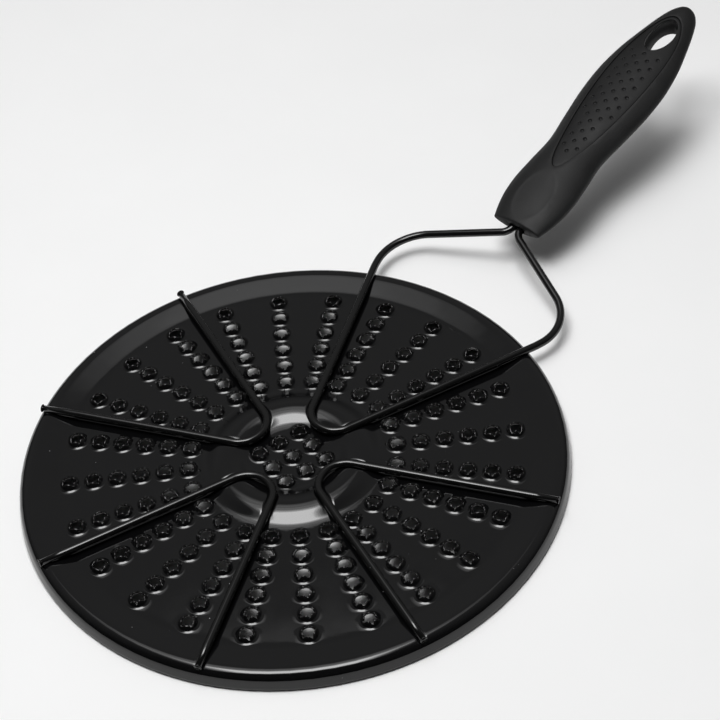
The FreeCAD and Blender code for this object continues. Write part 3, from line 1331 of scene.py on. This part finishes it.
    def recess(self, skin: Skin) -> None:
        """The leaf's recess and the hang hole's wall in the body."""
        steps = ((-0.3, 0.0), (-0.1, 0.09), (0.0, 0.3), (0.0, self.leaf_depth))
        rings = [self.on(self.leaf(inset), Face.TOP, sink) for inset, sink in steps]
        skin.rows(self.placed(np.array(rings)), closed=True)
        spots = [(a, b) for a in np.arange(33, 130, 2.5) for b in np.arange(-11, 11.1, 2.2)]
        fill = np.array(spots)
        loops = [self.leaf(0.0), self.hole()]
        fill = clear_of(fill[inside(fill, loops[0]) & ~inside(fill, loops[1])], loops, 1.0)
        flat, triangles = triangles_between(loops[0], [loops[1]], [], fill)
        skin.patch(self.placed(self.on(flat, Face.TOP, self.leaf_depth)), triangles)
        edge = self.hole_edge
        rings = [self.on(self.hole(), Face.TOP, self.leaf_depth)]
        for grow, rise in ((0.0, edge), (0.15 * edge, 0.5 * edge), (0.5 * edge, 0.15 * edge), (edge, 0.0)):
            rings.append(self.on(self.hole(grow), Face.UNDERSIDE, -rise))
        skin.rows(self.placed(np.array(rings)), closed=True)

    def dimple_places(self) -> list[tuple[float, float]]:
        """Staggered places for the dimples, clear of the leaf's edge and the hang hole.

        Returns:
            Pairs of along and across.
        """
        places = []
        middle = (self.leaf_start + self.leaf_end) / 2
        half = (self.leaf_end - self.leaf_start) / 2
        hole_start = self.hole_place - self.hole_length / 2
        for row in range(int(2 * half / self.dimple_along)):
            for column in range(self.dimple_columns):
                across = (column - (self.dimple_columns - 1) / 2) * self.dimple_across
                stagger = self.dimple_along / 2 if column % 2 else 0.0
                along = self.leaf_start + self.dimple_start + self.dimple_along * row + stagger
                reach = (along - middle) / half
                if abs(reach) >= 1 or along > hole_start - self.dimple_margin:
                    continue
                edge = self.leaf_half_width * math.sqrt(1 - reach**2) * (1 + self.leaf_taper * reach)
                if abs(across) < edge - self.dimple_margin - self.dimple_radius:
                    places.append((along, across))
        return places

    def make_leaf(self) -> bpy.types.Object:
        """The dimpled leaf, a closed body a little smaller than its recess.

        Returns:
            The leaf.
        """
        skin = Skin()
        top, edge, gap = self.leaf_step, self.leaf_edge, self.leaf_gap
        bottom = self.leaf_depth - 0.1
        drops = ((edge, 0.0), (0.5 * edge, 0.13 * edge), (0.13 * edge, 0.5 * edge), (0.0, edge))
        outer = [self.on(self.leaf(gap + i), Face.TOP, top + d) for i, d in drops]
        outer.append(self.on(self.leaf(gap), Face.TOP, bottom))
        inner = [self.on(self.hole(i), Face.TOP, top + d) for i, d in drops]
        inner.append(self.on(self.hole(), Face.TOP, bottom))
        for rings in (outer, inner):
            skin.rows(self.placed(np.array(rings)), closed=True)
        across_dimple = 2 * self.dimple_radius
        loops = [
            self.oval(a, across_dimple, across_dimple, 0.12, 16) + (0, b) for a, b in self.dimple_places()
        ]
        spots = [(a, b) for a in np.arange(32, 131, 1.3) for b in np.arange(-11.05, 11.1, 1.3)]
        fill = np.array(spots)
        edges = [self.leaf(gap + edge), self.hole(edge)]
        keep_in = inside(fill, edges[0]) & ~inside(fill, edges[1])
        for along, across in self.dimple_places():
            keep_in &= np.hypot(fill[:, 0] - along, fill[:, 1] - across) > self.dimple_radius + 0.3
        fill = clear_of(fill[keep_in], edges, 0.6)
        flat, triangles = triangles_between(edges[0], [edges[1], *loops], [], fill)
        skin.patch(self.placed(self.on(flat, Face.TOP, top)), triangles)
        bowl = ((1.15, 0.0), (1.03, 0.04), (0.95, 0.14), (0.85, 0.45), (0.6, 0.82), (0.3, 0.97), (0.04, 1.0))
        for loop, (along, across) in zip(loops, self.dimple_places()):
            centre = np.array([along, across])
            rings = [
                self.on(centre + (loop - centre) * share / 1.15, Face.TOP, top + drop * self.dimple_depth)
                for share, drop in bowl
            ]
            skin.rows(self.placed(np.array(rings)), closed=True)
            floor = np.array([[0, k, k + 1] for k in range(1, len(loop) - 1)])
            skin.patch(self.placed(rings[-1]), floor)
        loops = [self.leaf(gap), self.hole()]
        fill = clear_of(fill[inside(fill, loops[0]) & ~inside(fill, loops[1])], loops, 1.0)[::3]
        flat, triangles = triangles_between(loops[0], [loops[1]], [], fill)
        skin.patch(self.placed(self.on(flat, Face.TOP, bottom)), triangles)
        return skin.piece("grip_leaf")

    def make_body(self) -> bpy.types.Object:
        """The handle's body, a closed skin with its recess, hang hole and slot.

        Returns:
            The body.
        """
        skin = Skin()
        dish = [self.oval(self.thumb_place, self.thumb_length, self.thumb_width, g) for g in (0.0, -0.5)]
        self.half_shell(skin, Face.TOP, [self.leaf(-0.3)], dish)
        self.half_shell(skin, Face.UNDERSIDE, [self.hole(self.hole_edge)], [])
        self.mouth_end(skin)
        self.recess(skin)
        return skin.piece("grip_body")

    def settle(self) -> None:
        """Find the mouth's place, so that the body fills its CAD box."""
        low, high = (np.array(corner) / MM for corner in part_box("handle_body"))
        angles = np.linspace(0, 2 * math.pi, 181)
        spots = np.concatenate([np.linspace(0, 120, 121), self.length * (1 - np.linspace(0.38, 0, 60) ** 2)])
        outside = self.placed(np.array([self.section(np.array(s), angles) for s in spots])).reshape(-1, 3)
        shift = (low + high) / 2 - (outside.min(axis=0) + outside.max(axis=0)) / 2
        self.mouth = (float(shift[0]), float(shift[2]))

    def build(self) -> list[bpy.types.Object]:
        """Make and dress the body and the leaf.

        Returns:
            The two pieces.
        """
        body = keep(self.make_body(), "handle_body", Slot.HANDLE, self.body_finish)
        leaf = keep(self.make_leaf(), "grip_insert", Slot.LEAF, self.leaf_finish)
        return [body, leaf]


@dataclass
class WireSet:
    """The three short wire rests and the long wire that carries the handle."""

    line: WireLine
    handle: MouldedHandle
    plate_radius: float
    finish: Enamel
    end_setback: float = 1.8
    loop_start: float = 1.4
    loop_corner: float = 22.2
    loop_angle: float = math.radians(21.7)
    loop_bends: tuple[float, float, float] = (6.0, 20.5, 30.0)
    tail_gap: float = 0.4
    tail_length: float = 52.0

    def rest(self, place: RestPlace) -> bpy.types.Object:
        """One short rest.

        Args:
            place: Where it stands.

        Returns:
            The rest.
        """
        reach = self.plate_radius - self.end_setback
        middle = np.array([0.0, 0.0, self.line.height])
        corners = np.array([self.line.leg(reach, 1), middle, self.line.leg(reach, -1)])
        turn = math.radians(place.value)
        cosine, sine = math.cos(turn), math.sin(turn)
        spin = np.array([[cosine, sine, 0], [-sine, cosine, 0], [0, 0, 1]])
        side = place.name.lower()
        wire = BentWire(
            f"short_rest_{side}",
            f"wire_rest_{side}",
            corners @ spin,
            [self.line.bend],
            self.line.radius,
            self.finish,
        )
        return wire.build()

    def loop(self) -> bpy.types.Object:
        """The long wire, from one tail in the handle round the plate to the other.

        Returns:
            The wire.
        """
        offset = self.line.radius + self.tail_gap / 2
        corner = self.plate_radius + self.loop_corner
        tail_ends = [(self.tail_length, offset, 0.0), (-self.loop_bends[0] / 2, offset, 0.0)]
        tails = self.handle.placed(np.array(tail_ends))
        half = [
            *tails,
            np.array(
                [corner * math.cos(self.loop_angle), corner * math.sin(self.loop_angle), self.line.height]
            ),
            self.line.leg(self.plate_radius + self.loop_start, 1),
        ]
        mirror = np.array([1.0, -1.0, 1.0])
        middle = np.array([0.0, 0.0, self.line.height])
        corners = np.array([*half, middle, *[point * mirror for point in half[::-1]]])
        bends = [*self.loop_bends, self.line.bend, *self.loop_bends[::-1]]
        return BentWire("handle_loop", "handle_wire", corners, bends, self.line.radius, self.finish).build()

    def build(self) -> list[bpy.types.Object]:
        """Make the four wires.

        Returns:
            The wires.
        """
        return [*[self.rest(place) for place in RestPlace], self.loop()]


# ---- studio ----


@dataclass(frozen=True)
class SoftLight:
    """One level rectangular light panel overhead, in metres, square to the view.

    Its near and far edges are measured away from the viewer, its sides to the right.
    """

    name: str
    height: float
    depth: tuple[float, float]
    sides: tuple[float, float]
    glow: float
    away: tuple[float, float] = (0.712, 0.702)

    def build(self) -> bpy.types.Object:
        """Hang the panel.

        Returns:
            The light.
        """
        light = bpy.data.lights.new(self.name, "AREA")
        light.shape = "RECTANGLE"
        light.size = self.sides[1] - self.sides[0]
        light.size_y = self.depth[1] - self.depth[0]
        light.energy = self.glow * math.pi * light.size * light.size_y
        panel = bpy.data.objects.new(self.name, light)
        far = Vector((*self.away, 0.0)).normalized()
        right = far.cross(Vector((0.0, 0.0, 1.0)))
        middle = far * (sum(self.depth) / 2) + right * (sum(self.sides) / 2)
        panel.location = (middle.x, middle.y, self.height)
        panel.rotation_euler = (0.0, 0.0, math.atan2(right.y, right.x))
        bpy.context.scene.collection.objects.link(panel)
        return panel


@dataclass
class Studio:
    """Pale floor, soft lights, dim surroundings and the camera."""

    floor_level: float
    camera_place: tuple[float, float, float] = (-0.4252, -0.4653, 0.6872)
    camera_heading: tuple[float, float, float] = (0.5037, 0.4970, -0.7066)
    camera_up: tuple[float, float, float] = (0.5808, 0.4106, 0.7029)
    lens: float = 110.7
    surroundings: tuple[float, float] = (0.03, 0.25)
    near_side_share: float = 0.15
    floor_size: float = 3.0
    floor_colour: tuple[float, float, float] = (0.95, 0.95, 0.95)
    panels: tuple[SoftLight, ...] = (
        SoftLight("softbox_core", 1.30, (-0.30, 0.13), (-0.36, 0.16), 5.0),
        SoftLight("softbox_inner", 1.31, (-0.34, 0.21), (-0.42, 0.20), 3.0),
        SoftLight("softbox_outer", 1.32, (-0.38, 0.30), (-0.47, 0.24), 2.2),
        SoftLight("softbox_edge", 1.33, (-0.42, 0.52), (-0.55, 0.28), 1.5),
        SoftLight("softbox_spill", 1.34, (-0.50, 0.64), (-0.65, 0.36), 0.5),
        SoftLight("far_fill_wide", 1.35, (0.50, 0.98), (-0.60, 0.34), 0.35),
        SoftLight("far_fill_middle", 1.36, (0.56, 0.92), (-0.52, 0.22), 0.35),
        SoftLight("far_fill_narrow", 1.37, (0.62, 0.86), (-0.46, 0.10), 0.35),
        SoftLight("far_fill_core", 1.38, (0.68, 0.80), (-0.38, 0.0), 0.4),
    )

    def camera(self) -> bpy.types.Object:
        """The camera, looking down at the plate from the side away from the handle.

        Returns:
            The camera.
        """
        view = bpy.data.cameras.new("studio_camera")
        view.lens = self.lens
        view.sensor_width = 36.0
        view.clip_start = 0.01
        camera = bpy.data.objects.new("studio_camera", view)
        forward = Vector(self.camera_heading).normalized()
        right = forward.cross(Vector(self.camera_up)).normalized()
        up = right.cross(forward)
        turn = Matrix((right, up, -forward)).transposed().to_4x4()
        camera.matrix_world = Matrix.Translation(self.camera_place) @ turn
        bpy.context.scene.collection.objects.link(camera)
        bpy.context.scene.camera = camera
        return camera

    def floor(self) -> bpy.types.Object:
        """A wide pale floor under the plate.

        Returns:
            The floor.
        """
        half = self.floor_size
        mesh = bpy.data.meshes.new("pale_floor")
        corners = [(-half, -half), (half, -half), (half, half), (-half, half)]
        mesh.from_pydata([(x, y, self.floor_level) for x, y in corners], [], [(0, 1, 2, 3)])
        floor = bpy.data.objects.new("pale_floor", mesh)
        material = bpy.data.materials.new("pale_floor")
        material.use_nodes = True
        nodes = Nodes(material.node_tree)
        shader = material.node_tree.nodes["Principled BSDF"]
        pale = self.floor_colour
        clouds = nodes.spread(nodes.noise(60.0, 3.0), (0.3, 0.7), (0.0, 1.0))
        shade = tuple(0.985 * part for part in pale)
        nodes.join(nodes.tint(clouds, shade, pale), shader.inputs["Base Color"])
        shader.inputs["Roughness"].default_value = 0.9
        shader.inputs["Specular IOR Level"].default_value = 0.1
        mesh.materials.append(material)
        bpy.context.scene.collection.objects.link(floor)
        return floor

    def build(self) -> None:
        """Set up the whole studio."""
        scene = bpy.context.scene
        scene.view_settings.view_transform = "Standard"
        world = bpy.data.worlds.new("dim_surroundings")
        world.use_nodes = True
        world.node_tree.nodes["Background"].inputs["Color"].default_value = (1, 1, 1, 1)
        nodes = Nodes(world.node_tree)
        around = nodes.add("ShaderNodeTexCoord").outputs["Generated"]
        level = nodes.add("ShaderNodeSeparateXYZ")
        nodes.join(around, level.inputs[0])
        glow = nodes.spread(level.outputs["Z"], (0.0, 0.57), self.surroundings)
        far_x, far_y = self.camera_up[:2]
        along_x = nodes.work("MULTIPLY", level.outputs["X"], far_x)
        along_y = nodes.work("MULTIPLY", level.outputs["Y"], far_y)
        ahead = nodes.work("ADD", along_x, along_y)
        glow = nodes.work("MULTIPLY", glow, nodes.spread(ahead, (-0.3, 0.3), (self.near_side_share, 1.0)))
        nodes.join(glow, world.node_tree.nodes["Background"].inputs["Strength"])
        scene.world = world
        self.camera()
        self.floor()
        for panel in self.panels:
            panel.build()


def main() -> None:
    """Build every piece around the frame and report each one."""
    logging.basicConfig(level=logging.INFO, format="%(name)s: %(message)s")
    _, plate_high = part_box("pierced_plate")
    wire_low, wire_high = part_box("wire_rest_front")
    radius = float(plate_high[0]) / MM
    line = WireLine(
        radius=float(wire_high[2] - wire_low[2]) / 2 / MM, height=float(wire_high[2] + wire_low[2]) / 2 / MM
    )
    plate_enamel = Enamel("black_plate_enamel", (0.003, 0.003, 0.0033), (0.05, 0.1))
    wire_enamel = Enamel("black_wire_enamel", (0.004, 0.004, 0.004), (0.08, 0.15), wave=0.02, wave_grain=4.0)
    rim_top = line.height - line.radius + CHANNEL_DEPTH
    plate = PiercedPlate(radius, rim_top, line, plate_enamel)
    plate.build()
    handle = MouldedHandle(
        Moulded("moulded_handle_plastic", (0.009, 0.009, 0.0092), (0.5, 0.62)),
        Moulded("leaf_insert_plastic", (0.007, 0.007, 0.0072), (0.5, 0.65)),
    )
    handle.settle()
    WireSet(line, handle, radius, wire_enamel).build()
    handle.build()
    Studio(float(cad_box[0][2])).build()


if __name__ == "__main__":
    main()
